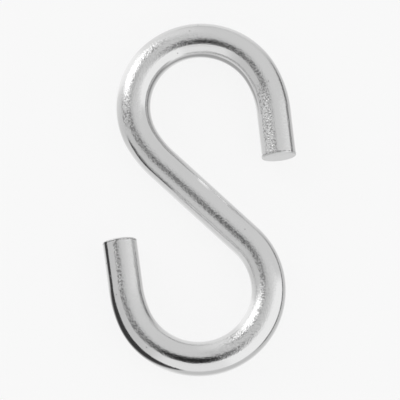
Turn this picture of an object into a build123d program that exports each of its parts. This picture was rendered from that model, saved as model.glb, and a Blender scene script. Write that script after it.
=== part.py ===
from build123d import *
import os

# An S-shaped hook, bent cold from one length of round steel wire. It lies flat on its side.
# Y runs along the line through the centres of the two bends, with the upper hook at +Y.
# X is across the hook, Z is up, and the origin is under the middle of its box. Millimetres.

wire_diameter = 5.0
end_rounding = 0.2  # edge of each sawn wire end

shank_length = 16.4  # straight, slanting stretch between the two hooks

# Upper hook: the wire leads out of the shank, goes round the bend, eases off and ends straight.
upper_lead_radius = 16.55
upper_lead_turn = 14.7
upper_bend_radius = 9.83
upper_bend_turn = 181.5
upper_ease_radius = 13.97
upper_ease_turn = 24.35
upper_tip_length = 6.96

# Lower hook: it is bent straight off the shank, a little rounder than the upper one.
lower_bend_radius = 9.96
lower_bend_turn = 203.23
lower_ease_radius = 16.3
lower_ease_turn = 16.0
lower_tip_length = 6.87

# The arcs of each hook as (radius, turn), from the shank to the tip.
upper_arcs = [
    (upper_lead_radius, upper_lead_turn),
    (upper_bend_radius, upper_bend_turn),
    (upper_ease_radius, upper_ease_turn),
]
lower_arcs = [
    (lower_bend_radius, lower_bend_turn),
    (lower_ease_radius, lower_ease_turn),
]

section = Circle(wire_diameter / 2)


def cut_across(point, heading):
    """The plane that cuts the wire square at a point on its middle line."""
    return Plane(origin=point, x_dir=(0, 0, 1), z_dir=heading)


def hook_wire(cut, arcs, tip_length):
    """One hook from its cut at the shank: clockwise arcs, then the straight tip.

    It gives the pieces of wire, the centre of the tightest arc and the cut at the wire's end.
    """
    pieces, centres = [], []
    for radius, turn in arcs:
        centre = cut.origin + cut.y_dir * radius
        pieces.append(revolve(cut * section, axis=Axis(centre, (0, 0, -1)), revolution_arc=turn))
        centres.append((radius, centre))
        far_point = centre + (cut.origin - centre).rotate(Axis.Z, -turn)
        cut = cut_across(far_point, cut.z_dir.rotate(Axis.Z, -turn))
    pieces.append(extrude(cut * section, amount=tip_length))
    tightest = min(centres, key=lambda item: item[0])
    return pieces, tightest[1], cut.offset(tip_length)


# The wire is first laid out with its shank along X and the shank's middle at the origin.
upper_cut = cut_across((-shank_length / 2, 0, 0), (-1, 0, 0))
lower_cut = cut_across((shank_length / 2, 0, 0), (1, 0, 0))
shank = extrude(upper_cut * section, amount=-shank_length)
upper_pieces, upper_centre, upper_end = hook_wire(upper_cut, upper_arcs, upper_tip_length)
lower_pieces, lower_centre, lower_end = hook_wire(lower_cut, lower_arcs, lower_tip_length)

hook = Part() + [*upper_pieces, shank, *lower_pieces]
hook = fillet(hook.faces().filter_by(GeomType.PLANE).edges(), end_rounding)

# It is turned until Y runs through both bends' centres, and then centred over the origin.
centre_line = upper_centre - lower_centre
upright = Rot(Z=90 - Vector(1, 0).get_signed_angle(centre_line, Vector(0, 0, 1)))
box = (upright * hook).bounding_box()
place = Pos(-box.center().X, -box.center().Y, wire_diameter / 2) * upright
hook = place * hook
hook.label = "s_hook"

os.makedirs("parts", exist_ok=True)
export_step(hook, "parts/s_hook.step")

# Where other things meet the hook, in its own frame.
inside = wire_diameter / 2
print("upper bend: centre", (place * Pos(upper_centre)).position, "inner radius", upper_bend_radius - inside)
print("lower bend: centre", (place * Pos(lower_centre)).position, "inner radius", lower_bend_radius - inside)
for name, end in [("upper tip", upper_end), ("lower tip", lower_end)]:
    placed = Plane(place * end.location)
    print(name, "end at", placed.origin, "pointing", placed.z_dir)
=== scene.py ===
import math

import bpy
from mathutils import Matrix, Vector


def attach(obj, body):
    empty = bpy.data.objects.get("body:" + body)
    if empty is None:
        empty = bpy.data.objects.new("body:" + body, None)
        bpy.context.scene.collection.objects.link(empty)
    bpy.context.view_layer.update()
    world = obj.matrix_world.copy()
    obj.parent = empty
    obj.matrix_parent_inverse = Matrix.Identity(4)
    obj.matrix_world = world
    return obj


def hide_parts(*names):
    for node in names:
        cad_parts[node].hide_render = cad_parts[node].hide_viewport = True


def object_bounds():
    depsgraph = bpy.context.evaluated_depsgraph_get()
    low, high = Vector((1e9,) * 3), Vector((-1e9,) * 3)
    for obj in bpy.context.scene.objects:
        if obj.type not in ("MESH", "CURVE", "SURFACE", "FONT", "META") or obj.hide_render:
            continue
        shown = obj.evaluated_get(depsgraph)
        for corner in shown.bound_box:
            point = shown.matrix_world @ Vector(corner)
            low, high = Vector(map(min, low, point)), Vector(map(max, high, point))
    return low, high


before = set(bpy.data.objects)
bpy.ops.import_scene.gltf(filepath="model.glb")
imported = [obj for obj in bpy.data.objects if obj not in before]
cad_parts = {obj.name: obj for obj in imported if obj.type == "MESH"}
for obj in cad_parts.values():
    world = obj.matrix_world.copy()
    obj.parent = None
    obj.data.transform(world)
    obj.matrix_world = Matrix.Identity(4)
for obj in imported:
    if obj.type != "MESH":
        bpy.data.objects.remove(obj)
cadLow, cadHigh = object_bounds()
mm = 0.001
print("frame loaded, box in mm:", [round(side / mm, 2) for side in cadHigh - cadLow])

scene = bpy.context.scene
scene.view_settings.view_transform = "Standard"


class Link:  # one output socket, so that sums can be written as sums
    def __init__(self, graph, socket):
        self.graph = graph
        self.socket = socket

    def other(self, name):  # another output of the same node
        return Link(self.graph, self.socket.node.outputs[name])

    def __add__(self, other):
        return self.graph.maths("ADD", self, other)

    def __sub__(self, other):
        return self.graph.maths("SUBTRACT", self, other)

    def __rsub__(self, other):
        return self.graph.maths("SUBTRACT", other, self)

    def __mul__(self, other):
        return self.graph.maths("MULTIPLY", self, other)

    def __truediv__(self, other):
        return self.graph.maths("DIVIDE", self, other)

    def __rtruediv__(self, other):
        return self.graph.maths("DIVIDE", other, self)

    __radd__ = __add__
    __rmul__ = __mul__


class Graph:  # a node tree that is being wired
    def __init__(self, tree):
        self.tree = tree

    def add(self, kind, settings=None, sockets=None, out=0):
        node = self.tree.nodes.new(kind)
        for key, value in (settings or {}).items():
            if key == "keeps":  # what a Capture Attribute node stores
                node.capture_items.new(*value)
            else:
                setattr(node, key, value)
        for key, value in (sockets or {}).items():
            if isinstance(value, Link):
                self.tree.links.new(value.socket, node.inputs[key])
            else:
                node.inputs[key].default_value = value
        return Link(self, node.outputs[out]) if node.outputs else node

    def maths(self, operation, first, second=0.0):
        return self.add("ShaderNodeMath", {"operation": operation}, {0: first, 1: second})

    def higher(self, *values):
        highest = values[0]
        for value in values[1:]:
            highest = self.maths("MAXIMUM", highest, value)
        return highest

    def parts(self, vector):  # the three numbers of a vector
        x = self.add("ShaderNodeSeparateXYZ", {}, {0: vector})
        return x, x.other("Y"), x.other("Z")

    def grey(self, level):
        return self.add("ShaderNodeCombineColor", {}, {"Red": level, "Green": level, "Blue": level})

    def step(self, value, start, end):  # 0 up to start, 1 from end, smooth between
        return self.add(
            "ShaderNodeMapRange",
            {"interpolation_type": "SMOOTHSTEP"},
            {"Value": value, "From Min": start, "From Max": end},
        )

    def window(self, value, low, high, soft):  # 1 between low and high, with soft edges
        return self.step(value, low - soft, low + soft) * self.step(value, high + soft, high - soft)


def towards(level, target, mask):
    return level + (target - level) * mask


# the camera looks down on the hook, a little from its lower end
viewSettings = {
    "azimuth": 1.98,  # degrees from straight in front
    "elevation": 76.77,
    "roll": -1.05,
    "distance": 599.4 * mm,
    "width": 57.19 * mm,  # of the view, at the hook
    "lookAt": (0.075 * mm, -0.229 * mm, 2.516 * mm),
    "sensor": 36.0,
    "nearClip": 10 * mm,
}


def makeCamera(settings):
    azimuth, elevation, roll = (math.radians(settings[k]) for k in ("azimuth", "elevation", "roll"))
    back = Vector((
        math.sin(azimuth) * math.cos(elevation),
        -math.cos(azimuth) * math.cos(elevation),
        math.sin(elevation),
    ))
    level = Vector((math.cos(azimuth), math.sin(azimuth), 0.0))
    right = level * math.cos(roll) + back.cross(level) * math.sin(roll)
    up = back.cross(right)
    data = bpy.data.cameras.new("camera")
    data.sensor_width = settings["sensor"]
    data.lens = settings["sensor"] * settings["distance"] / settings["width"]
    data.clip_start = settings["nearClip"]
    camera = bpy.data.objects.new("camera", data)
    turn = Matrix((right, up, back)).transposed().to_4x4()
    place = Vector(settings["lookAt"]) + back * settings["distance"]
    camera.matrix_world = Matrix.Translation(place) @ turn
    scene.collection.objects.link(camera)
    scene.camera = camera


makeCamera(viewSettings)
print("camera placed")


hookSettings = {
    "wireRadius": 2.496,  # all of these in mm and degrees
    "shankLength": 16.4,
    "upperArcs": [(16.55, 14.7), (9.83, 181.5), (13.97, 24.35)],  # radius and turn, shank to tip
    "lowerArcs": [(9.96, 203.23), (16.3, 16.0)],
    "upperTip": 6.96,
    "lowerTip": 6.87,
    "endRounding": 0.2,
    "ringGap": 0.15,  # between the rings of the mesh
    "endRings": 7,  # extra rings over each rounded end
    "sides": 96,
    "waveDepth": 0.012,  # how far the drawn surface dips below true round
    "waveLength": 7.0,
    "seed": 4.0,
}


def hookLine(arcs, tipLength, along):
    # walks one hook from the end of the shank, and gives the point and heading at each distance
    stretches = [("arc", math.radians(turn) * radius, radius) for radius, turn in arcs]
    stretches.append(("straight", tipLength, 0.0))
    places = []
    for distance in along:
        point, heading, left = Vector((0.0, 0.0)), Vector((1.0, 0.0)), distance
        for kind, length, radius in stretches:
            walked = min(left, length)
            if kind == "arc":
                angle = walked / radius
                side = Vector((heading.y, -heading.x))  # the arc's centre is on the right
                point = point + side * radius * (1.0 - math.cos(angle))
                point = point + heading * radius * math.sin(angle)
                heading = heading * math.cos(angle) + side * math.sin(angle)
            else:
                point = point + heading * walked
            left -= walked
            if left <= 0.0:
                break
        places.append((point, heading))
    return places


def arcCentre(arcs):
    # the centre of the tightest arc, seen from the end of the shank
    tightest = min(arcs)
    before = arcs[:arcs.index(tightest)]
    start = sum(math.radians(turn) * radius for radius, turn in before)
    point, heading = hookLine(arcs, 0.0, [start])[0]
    return point + Vector((heading.y, -heading.x)) * tightest[0]


def wireLine(settings):
    # the middle line of the whole wire, laid as the frame has it: the bends' centres along Y
    half = settings["shankLength"] / 2
    gap, rounding, endRings = settings["ringGap"], settings["endRounding"], settings["endRings"]

    def distances(arcs, tip):
        total = sum(math.radians(turn) * radius for radius, turn in arcs) + tip
        count = round((total - rounding) / gap)
        even = [(total - rounding) * i / count for i in range(count + 1)]
        shares = [math.sin(math.pi / 2 * i / endRings) for i in range(1, endRings + 1)]
        return even + [total - rounding * (1.0 - share) for share in shares]

    def points(arcs, tip, turned):
        walk = hookLine(arcs, tip, distances(arcs, tip))
        return [(point + Vector((half, 0.0))) * turned for point, heading in walk]

    upperPoints = points(settings["upperArcs"], settings["upperTip"], -1)
    lowerPoints = points(settings["lowerArcs"], settings["lowerTip"], 1)
    shankSteps = round(2 * half / gap)
    shank = [Vector((half * (2 * i / shankSteps - 1), 0.0)) for i in range(1, shankSteps)]
    line = upperPoints[::-1] + shank + lowerPoints

    upperCentre = -arcCentre(settings["upperArcs"]) - Vector((half, 0.0))
    lowerCentre = arcCentre(settings["lowerArcs"]) + Vector((half, 0.0))
    lean = upperCentre - lowerCentre
    turn = Matrix.Rotation(math.pi / 2 - math.atan2(lean.y, lean.x), 2)
    return [turn @ point for point in line]


def setInputs(modifier, tree, values):
    for item in tree.interface.items_tree:
        if item.item_type == "SOCKET" and item.in_out == "INPUT" and item.name in values:
            modifier[item.identifier] = values[item.name]


def wireTree(material):
    tree = bpy.data.node_groups.new("bentWire", "GeometryNodeTree")
    face = tree.interface
    face.new_socket("Line", in_out="INPUT", socket_type="NodeSocketGeometry")
    for name in ("Wire Radius", "End Rounding", "Wave Depth", "Wave Length", "Seed"):
        face.new_socket(name, in_out="INPUT", socket_type="NodeSocketFloat")
    face.new_socket("Sides", in_out="INPUT", socket_type="NodeSocketInt")
    face.new_socket("Wire", in_out="OUTPUT", socket_type="NodeSocketGeometry")
    graph = Graph(tree)
    line = graph.add("NodeGroupInput", out="Line")
    wireRadius, rounding = line.other("Wire Radius"), line.other("End Rounding")

    # distance along the wire, and from the nearer end
    along = graph.add("GeometryNodeSplineParameter", out="Length")
    whole = graph.add("GeometryNodeSplineLength", out="Length")
    fromEnd = graph.maths("MINIMUM", along, whole - along)

    # the radius falls away over the rounded edge of each end
    inside = graph.higher(rounding - fromEnd, 0.0)
    drop = rounding - graph.maths("SQRT", graph.higher(rounding * rounding - inside * inside, 0.0))
    scale = (wireRadius - drop) / wireRadius

    path = graph.add("GeometryNodeCaptureAttribute", {"keeps": ("FLOAT", "Along")},
                     {"Geometry": line, "Along": along})
    ring = graph.add("GeometryNodeCurvePrimitiveCircle", {"mode": "RADIUS"},
                     {"Resolution": line.other("Sides"), "Radius": wireRadius})
    outline = graph.add("GeometryNodeCaptureAttribute", {"keeps": ("VECTOR", "Around")},
                        {"Geometry": ring, "Around": graph.add("GeometryNodeInputPosition")})
    swept = graph.add("GeometryNodeCurveToMesh", {},
                      {"Curve": path, "Profile Curve": outline, "Scale": scale, "Fill Caps": True})

    # where each point would lie on the straight wire, which the finish follows
    right, down = graph.parts(outline.other("Around"))[:2]
    straight = graph.add("ShaderNodeCombineXYZ", {},
                         {"X": path.other("Along"), "Y": 0.0 - right, "Z": 0.0 - down})
    marked = graph.add(
        "GeometryNodeStoreNamedAttribute", {"data_type": "FLOAT_VECTOR", "domain": "POINT"},
        {"Geometry": swept, "Name": "straightWire", "Value": straight})

    # long shallow dips left by drawing and bending
    dip = graph.add("ShaderNodeTexNoise", {"noise_dimensions": "4D"}, {
        "Vector": straight,
        "W": line.other("Seed"),
        "Scale": 1.0 / line.other("Wave Length"),
        "Detail": 1.0,
    })
    normal = graph.add("GeometryNodeInputNormal")
    inwards = graph.add("ShaderNodeVectorMath", {"operation": "SCALE"},
                        {0: normal, "Scale": dip * line.other("Wave Depth") * -1.0})
    dipped = graph.add("GeometryNodeSetPosition", {}, {"Geometry": marked, "Offset": inwards})

    # only the two end faces have more than four corners, and they stay flat
    flatEnd = graph.maths("GREATER_THAN", graph.add("GeometryNodeCornersOfFace", out="Total"), 4.5)
    smooth = graph.add("GeometryNodeSetShadeSmooth", {"domain": "FACE"},
                       {"Geometry": dipped, "Shade Smooth": 1.0 - flatEnd})
    real = graph.add("GeometryNodeRealizeInstances", {}, {"Geometry": smooth})
    painted = graph.add("GeometryNodeSetMaterial", {}, {"Geometry": real, "Material": material})
    graph.add("NodeGroupOutput", {}, {"Wire": painted})
    return tree


def makeWire(settings, material):
    points = wireLine(settings)
    radius = settings["wireRadius"]
    data = bpy.data.curves.new("hookLine", "CURVE")
    data.dimensions = "3D"
    spline = data.splines.new("POLY")
    spline.points.add(len(points) - 1)
    for spot, point in zip(spline.points, points):
        spot.co = (point.x * mm, point.y * mm, 0.0, 1.0)
    holder = bpy.data.objects.new("hookLine", data)
    scene.collection.objects.link(holder)

    tree = wireTree(material)
    modifier = holder.modifiers.new("bentWire", "NODES")
    modifier.node_group = tree
    setInputs(modifier, tree, {
        "Wire Radius": radius * mm,
        "End Rounding": settings["endRounding"] * mm,
        "Wave Depth": settings["waveDepth"] * mm,
        "Wave Length": settings["waveLength"] * mm,
        "Seed": settings["seed"],
        "Sides": settings["sides"],
    })
    graph = bpy.context.evaluated_depsgraph_get()
    mesh = bpy.data.meshes.new_from_object(holder.evaluated_get(graph))
    bpy.data.objects.remove(holder)

    # the frame's box fixes where the wire lies
    corners = [vertex.co for vertex in mesh.vertices]
    low = Vector([min(c[i] for c in corners) for i in range(3)])
    high = Vector([max(c[i] for c in corners) for i in range(3)])
    middle = (cadLow + cadHigh) / 2
    mesh.transform(Matrix.Translation(Vector((
        middle.x - (low.x + high.x) / 2,
        middle.y - (low.y + high.y) / 2,
        cadLow.z + radius * mm,
    ))))
    wire = bpy.data.objects.new("hookWire", mesh)
    scene.collection.objects.link(wire)
    return wire


zincSettings = {
    "colour": 0.76,
    "colourDrift": 0.08,  # from the darkest places to the palest
    "roughness": 0.13,
    "roughnessDrift": 0.1,
    "driftSize": 4.0,  # mm, slow drift in colour and grain
    "grainSize": 0.16,  # mm
    "grainDepth": 0.05,
    "grainDrift": (0.3, 0.6),  # where the slow drift stops thinning the grain
    "grainLow": 0.4,  # share of the grain that it leaves
    "grainCalm": 0.07,  # share of the grain left where the plating is smooth
    "speckSize": 0.22,  # mm, dark specks of the plating, shown only along dark reflections and highlight ends as painted shade
    "speckCut": (0.5, 0.6),  # noise level at which a speck starts, and is full
    "speckDrift": 0.25,  # how much the slow drift gathers them
    "speckShadeColour": 0.22,
    "speckShare": 0.6,
    "drawSize": 0.12,  # mm across a draw line
    "drawDepth": 0.0015,
    "pitGap": 1.7,  # mm between possible pits
    "pitSize": 0.12,
    "pitCore": 0.4,  # share of it that is at full depth
    "pitDepth": 0.02,
    "pitDark": 0.4,
    "scuffColour": 0.95,
    "burrColour": 0.3,
    "burrRagged": (0.42, 0.56),  # as speckCut
    "sawColour": 0.74,
    "sawRoughness": 0.45,
    # places on the wire: from, to and the width of the soft edge, or only where it starts and is full;
    # "Around" in degrees from the top of the wire, "Along" in mm from the upper tip
    "grainyAround": (-46.0, 28.0, 4.0),
    "rubbedShadeAround": (8.0, 50.0, 4.0),  # beside the upper tip: stronger grain, and dark specks there are painted shade
    "rubbedShadeAlong": (12.0, 9.0),
    "rubbedGrain": 1.7,
    "stripeAround": (-27.0, -9.0, 3.0),  # dark specks along the dark reflection band from one bend down the shank to the other, as painted shade
    "stripeAlong": (28.5, 84.0, 2.0),
    "broadAround": (-42.0, -9.0, 3.0),  # two short broad places on it, at the ends of the highlights
    "upperBroadAlong": (38.0, 41.5, 1.0),
    "lowerBroadAlong": (81.0, 83.5, 1.0),
    "outerAround": (6.0, 24.0, 3.0),  # dark specks along the dark reflections from the bends out to the tips, as painted shade
    "upperOuterAlong": (30.0, 26.0),
    "lowerOuterAlong": (81.0, 85.0),
    "scuffAround": (34.0, 45.0, 3.0),  # a nick on the shank
    "scuffAlong": (53.9, 55.9, 0.4),
    "sawnEnd": (0.25, 0.1),  # mm from the nearer end
    "burrEnd": (0.2, 0.36, 0.1),  # ragged dark line left by the saw
}


def zincPlate(settings, length):
    material = bpy.data.materials.new("zincPlate")
    material.use_nodes = True
    graph = Graph(material.node_tree)
    shader = material.node_tree.nodes["Principled BSDF"]
    straight = graph.add("ShaderNodeAttribute", {"attribute_name": "straightWire"}, out="Vector")
    inMm = graph.add("ShaderNodeVectorMath", {"operation": "SCALE"}, {0: straight, "Scale": 1 / mm})
    along, side, top = graph.parts(inMm)
    nearEnd = graph.maths("MINIMUM", along, length - along)
    around = graph.maths("ARCTAN2", side, top) * math.degrees(1.0)

    def noise(size, stretch, detail, seed):  # size in mm across the wire, stretch along it
        spread = graph.add("ShaderNodeVectorMath", {"operation": "MULTIPLY"},
                           {0: inMm, 1: (1 / stretch, 1, 1)})
        return graph.add("ShaderNodeTexNoise", {"noise_dimensions": "4D"},
                         {"Vector": spread, "W": seed, "Scale": 1 / size, "Detail": detail}, out="Fac")

    def place(name, value):  # 1 on the named place
        limits = settings[name]
        return graph.window(value, *limits) if len(limits) == 3 else graph.step(value, *limits)

    grain = noise(settings["grainSize"], stretch=1.2, detail=2.0, seed=1.0)
    draw = noise(settings["drawSize"], stretch=14.0, detail=2.0, seed=2.0)
    drift = noise(settings["driftSize"], stretch=2.5, detail=1.0, seed=3.0)
    fine = noise(settings["speckSize"], stretch=1.2, detail=3.0, seed=5.0)

    # stronger grain beside the upper tip, and painted shade there through its dark specks
    rubbedAndShaded = place("rubbedShadeAround", around) * place("rubbedShadeAlong", along)
    rough = towards(settings["grainLow"], 1.0, place("grainDrift", drift)) * place("grainyAround", around)
    rough = graph.higher(rough, rubbedAndShaded * settings["rubbedGrain"])

    # dark specks of the plating, placed only along dark reflections and highlight ends: painted shade
    stripe = place("stripeAround", around) * place("stripeAlong", along)
    broad = place("broadAround", around) * graph.higher(
        place("upperBroadAlong", along), place("lowerBroadAlong", along))
    outer = place("outerAround", around) * graph.higher(
        place("upperOuterAlong", along), place("lowerOuterAlong", along))
    reflectionBands = graph.higher(stripe, broad, outer, rubbedAndShaded)
    speck = graph.step(fine + (drift - 0.5) * settings["speckDrift"], *settings["speckCut"]) * reflectionBands

    spots = graph.add("ShaderNodeTexVoronoi", {"voronoi_dimensions": "3D"},
                      {"Vector": inMm, "Scale": 1 / settings["pitGap"]}, out="Distance")
    pitEdge = settings["pitSize"] / settings["pitGap"]
    pit = graph.step(spots, pitEdge, settings["pitCore"] * pitEdge)
    scuff = place("scuffAlong", along) * place("scuffAround", around)
    sawn = place("sawnEnd", nearEnd)
    burr = place("burrEnd", nearEnd) * graph.step(fine, *settings["burrRagged"])

    grained = grain * towards(settings["grainCalm"], 1.0, rough)
    height = grained * settings["grainDepth"] + draw * settings["drawDepth"] - pit * settings["pitDepth"]
    bump = graph.add("ShaderNodeBump", {}, {"Height": height, "Distance": mm, "Strength": 1.0})

    colour = settings["colour"] + (drift - 0.5) * settings["colourDrift"] - pit * settings["pitDark"]
    # painted shade: dark specks only where the reflections are dark or a highlight ends
    colour = towards(colour, settings["speckShadeColour"], speck * settings["speckShare"])
    colour = towards(colour, settings["burrColour"], burr)
    colour = towards(colour, settings["scuffColour"], scuff)
    colour = towards(colour, settings["sawColour"], sawn)
    roughness = settings["roughness"] + (draw - 0.5) * settings["roughnessDrift"]
    roughness = towards(roughness, settings["sawRoughness"], sawn)
    links = material.node_tree.links
    links.new(graph.grey(colour).socket, shader.inputs["Base Color"])
    links.new(roughness.socket, shader.inputs["Roughness"])
    links.new(bump.socket, shader.inputs["Normal"])
    shader.inputs["Metallic"].default_value = 1.0
    return material


allArcs = hookSettings["upperArcs"] + hookSettings["lowerArcs"]
wireLength = sum(hookSettings[part] for part in ("shankLength", "upperTip", "lowerTip"))
wireLength = wireLength + sum(math.radians(turn) * radius for radius, turn in allArcs)
zinc = zincPlate(zincSettings, wireLength)
wire = makeWire(hookSettings, zinc)
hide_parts("s_hook")
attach(wire, "root")
print("wire made, faces:", len(wire.data.polygons))


roomSettings = {
    "backdrop": 0.939,  # what the camera sees behind the hook
    "walls": 0.75,
    # patches of the room: how bright; a heading (0 is +X, 90 is +Y), then from, to and the soft edge
    # in degrees each side of it; the same down from overhead, or where it starts and is full
    "farWall": (0.86, (105.0, -10.0, 22.0, 4.0), (42.0, 56.0)),  # paler, on the right of the softbox
    "leftWall": (0.68, (183.0, -28.0, 40.0, 10.0), (8.0, 30.0)),
    "leftShade": (0.3, (183.0, -30.0, 35.0, 12.0), (18.0, 44.0, 9.0)),
    "frontCard": (0.94, (-105.0, -20.0, 46.0, 8.0), (38.0, 54.0)),
    "rightCard": (1.06, (-26.0, -38.0, 46.0, 5.0), (27.0, 35.0)),
    "stand": (0.42, (116.0, -9.0, 6.0, 4.0), (20.0, 40.0, 4.0)),  # narrow, beside the softbox
    "shade": (0.36, (140.0, -30.0, 25.0, 8.0), (18.0, 27.0, 3.0)),  # over the softbox
    "softboxFoot": (1.08, (142.0, -15.0, 13.0, 5.0), (84.0, 88.0)),
    "softbox": (2.0, (142.0, -15.0, 13.0, 5.0), (28.0, 54.0)),
    "softboxFade": (84.0, 76.0),  # towards its foot
    # the table, seen in the sides of the wire
    "ground": 0.66,
    "groundNear": 1.0,  # seen steeply
    "groundSlant": (125.0, 168.0),
    "tableEdge": (98.0, 105.0),  # where the room ends and the table is full
    "farGleam": (0.22, (120.0, -60.0, 52.0, 22.0), (96.0, 150.0, 8.0)),
    "leftGleam": (0.14, (225.0, -35.0, 25.0, 12.0), (100.0, 150.0, 8.0)),
    "rightLine": (0.08, (0.0, -35.0, 48.0, 10.0), (103.5, 111.0, 1.5)),
    "farLine": (0.42, (75.0, -28.0, 32.0, 8.0), (97.0, 104.0, 2.0)),
    "farLineShare": 0.8,
    # the camera over the hook: how bright; down from overhead, heading, radius and soft edge in degrees
    "lensRim": (0.3, (24.0, 272.0, 21.0, 9.0)),
    "lens": (0.02, (20.5, 262.0, 19.0, 4.0)),
    "lensFoot": (0.02, (36.5, 280.0, 9.0, 4.0)),
}


def makeRoom(settings):
    world = bpy.data.worlds.new("studio")
    scene.world = world
    world.use_nodes = True
    world.node_tree.nodes.clear()
    graph = Graph(world.node_tree)
    x, y, z = graph.parts(graph.add("ShaderNodeTexCoord", out="Generated"))
    degree = math.degrees(1.0)
    polar = graph.maths("ARCCOSINE", z) * degree  # 0 straight up, 90 level

    def patch(name):  # how bright, and a mask that is 1 on the patch
        bright, (heading, *sides), height = settings[name]
        c, s = math.cos(math.radians(heading)), math.sin(math.radians(heading))
        facing = graph.window(graph.maths("ARCTAN2", y * c - x * s, x * c + y * s) * degree, *sides)
        if len(height) == 3:
            return bright, facing * graph.window(polar, *height)
        return bright, facing * graph.step(polar, *height)

    def disc(name):
        bright, (polarAt, headingAt, radius, soft) = settings[name]
        p, a = math.radians(polarAt), math.radians(headingAt)
        near = x * (math.sin(p) * math.cos(a)) + y * (math.sin(p) * math.sin(a)) + z * math.cos(p)
        away = graph.maths("ARCCOSINE", graph.maths("MINIMUM", near, 1.0)) * degree
        return bright, graph.step(away, radius + soft, radius - soft)

    level = settings["walls"]
    for name in ("farWall", "leftWall", "leftShade", "frontCard", "rightCard"):
        level = towards(level, *patch(name))

    steep = graph.step(polar, *settings["groundSlant"])
    ground = towards(settings["ground"], settings["groundNear"], steep)
    for name in ("farGleam", "leftGleam"):
        bright, mask = patch(name)
        ground = ground + mask * bright
    ground = towards(ground, *patch("rightLine"))
    level = towards(level, ground, graph.step(polar, *settings["tableEdge"]))
    bright, mask = patch("farLine")
    level = towards(level, bright, mask * settings["farLineShare"])

    for name in ("stand", "shade", "softboxFoot"):
        level = towards(level, *patch(name))
    bright, mask = patch("softbox")
    level = towards(level, bright, mask * graph.step(polar, *settings["softboxFade"]))
    for name in ("lensRim", "lens", "lensFoot"):
        level = towards(level, *disc(name))

    seen = graph.add("ShaderNodeLightPath", out="Is Camera Ray")
    level = towards(level, settings["backdrop"], seen)
    light = graph.add("ShaderNodeBackground", {}, {"Color": graph.grey(level), "Strength": 1.0})
    graph.add("ShaderNodeOutputWorld", {}, {"Surface": light})


floorSettings = {
    "size": 3.0,
    "paper": 0.9,
    "glow": 0.978,
    "shadowShare": 0.12,  # how much of the real shading shows in the white paper
}

flagSettings = {  # dark card lying beyond the lower left of the hook, seen only in the wire; in mm
    "size": 160.0,
    "middle": (-40.0, -30.0),
    "lift": 0.01,
    "level": 0.05,
    "soft": 2.0,
    "roundAt": (-37.5, -38.5),
    "radius": 31.8,
    "right": -19.2,
    "top": -1.5,
    "topSoft": 0.5,
    "bottom": (-70.0, -50.0),  # fades in between these
    "insideAt": (1.5, 17.0),  # painted reflection: a grey glow on the card inside the upper hook, seen only in the wire
    "insideRadius": 2.4,
    "insideReflectionLevel": 0.42,
}


def flatSquare(name, size, height, centre=(0.0, 0.0)):
    mesh = bpy.data.meshes.new(name)
    left, right = centre[0] - size / 2, centre[0] + size / 2
    front, back = centre[1] - size / 2, centre[1] + size / 2
    corners = [(left, front, height), (right, front, height), (right, back, height), (left, back, height)]
    mesh.from_pydata(corners, [], [(0, 1, 2, 3)])
    piece = bpy.data.objects.new(name, mesh)
    scene.collection.objects.link(piece)
    return piece


def stageMaterial(name):  # an empty material, and the graph to wire it with
    material = bpy.data.materials.new(name)
    material.use_nodes = True
    material.node_tree.nodes.clear()
    return material, Graph(material.node_tree)


def paperMaterial(settings):
    material, graph = stageMaterial("paper")
    paper = graph.add("ShaderNodeBsdfDiffuse", {}, {"Color": (settings["paper"],) * 3 + (1.0,)})
    glow = graph.add("ShaderNodeEmission", {},
                     {"Color": (settings["glow"],) * 3 + (1.0,), "Strength": 1.0})
    seen = graph.add("ShaderNodeLightPath", out="Is Camera Ray")
    share = seen * (1.0 - settings["shadowShare"])
    mixed = graph.add("ShaderNodeMixShader", {}, {"Fac": share, 1: paper, 2: glow})
    graph.add("ShaderNodeOutputMaterial", {}, {"Surface": mixed})
    return material


def flagMaterial(settings):
    material, graph = stageMaterial("flag")
    place = graph.add("ShaderNodeTexCoord", out="Object")
    inMm = graph.add("ShaderNodeVectorMath", {"operation": "SCALE"}, {0: place, "Scale": 1 / mm})
    x, y = graph.parts(inMm)[:2]
    soft, radius, right, top = (settings[k] for k in ("soft", "radius", "right", "top"))

    def disc(centre, radius):
        away = graph.add("ShaderNodeVectorMath", {"operation": "DISTANCE"},
                         {0: inMm, 1: centre + (0.0,)}, out="Value")
        return graph.step(away, radius + soft, radius - soft)

    rounded = disc(settings["roundAt"], radius)
    straight = graph.step(x, right + soft, right - soft) * graph.step(y, *settings["bottom"])
    cover = graph.higher(rounded, straight)
    cover = cover * graph.step(y, top + settings["topSoft"], top - settings["topSoft"])
    # painted reflection: grey disc inside the upper hook, seen only in the wire
    inside = disc(settings["insideAt"], settings["insideRadius"])
    level = towards(settings["level"], settings["insideReflectionLevel"], inside)
    card = graph.add("ShaderNodeEmission", {}, {"Color": graph.grey(level), "Strength": 1.0})
    clear = graph.add("ShaderNodeBsdfTransparent")
    mixed = graph.add("ShaderNodeMixShader", {},
                      {"Fac": graph.higher(cover, inside), 1: clear, 2: card})
    graph.add("ShaderNodeOutputMaterial", {}, {"Surface": mixed})
    return material


makeRoom(roomSettings)
floor = flatSquare("floor", floorSettings["size"], cadLow.z)
floor.data.materials.append(paperMaterial(floorSettings))
floor.visible_glossy = False
flag = flatSquare("flag", flagSettings["size"] * mm, cadLow.z + flagSettings["lift"] * mm,
                  [place * mm for place in flagSettings["middle"]])
flag.data.materials.append(flagMaterial(flagSettings))
flag.visible_camera = False
flag.visible_diffuse = False
flag.visible_shadow = False
print("room and floor made")
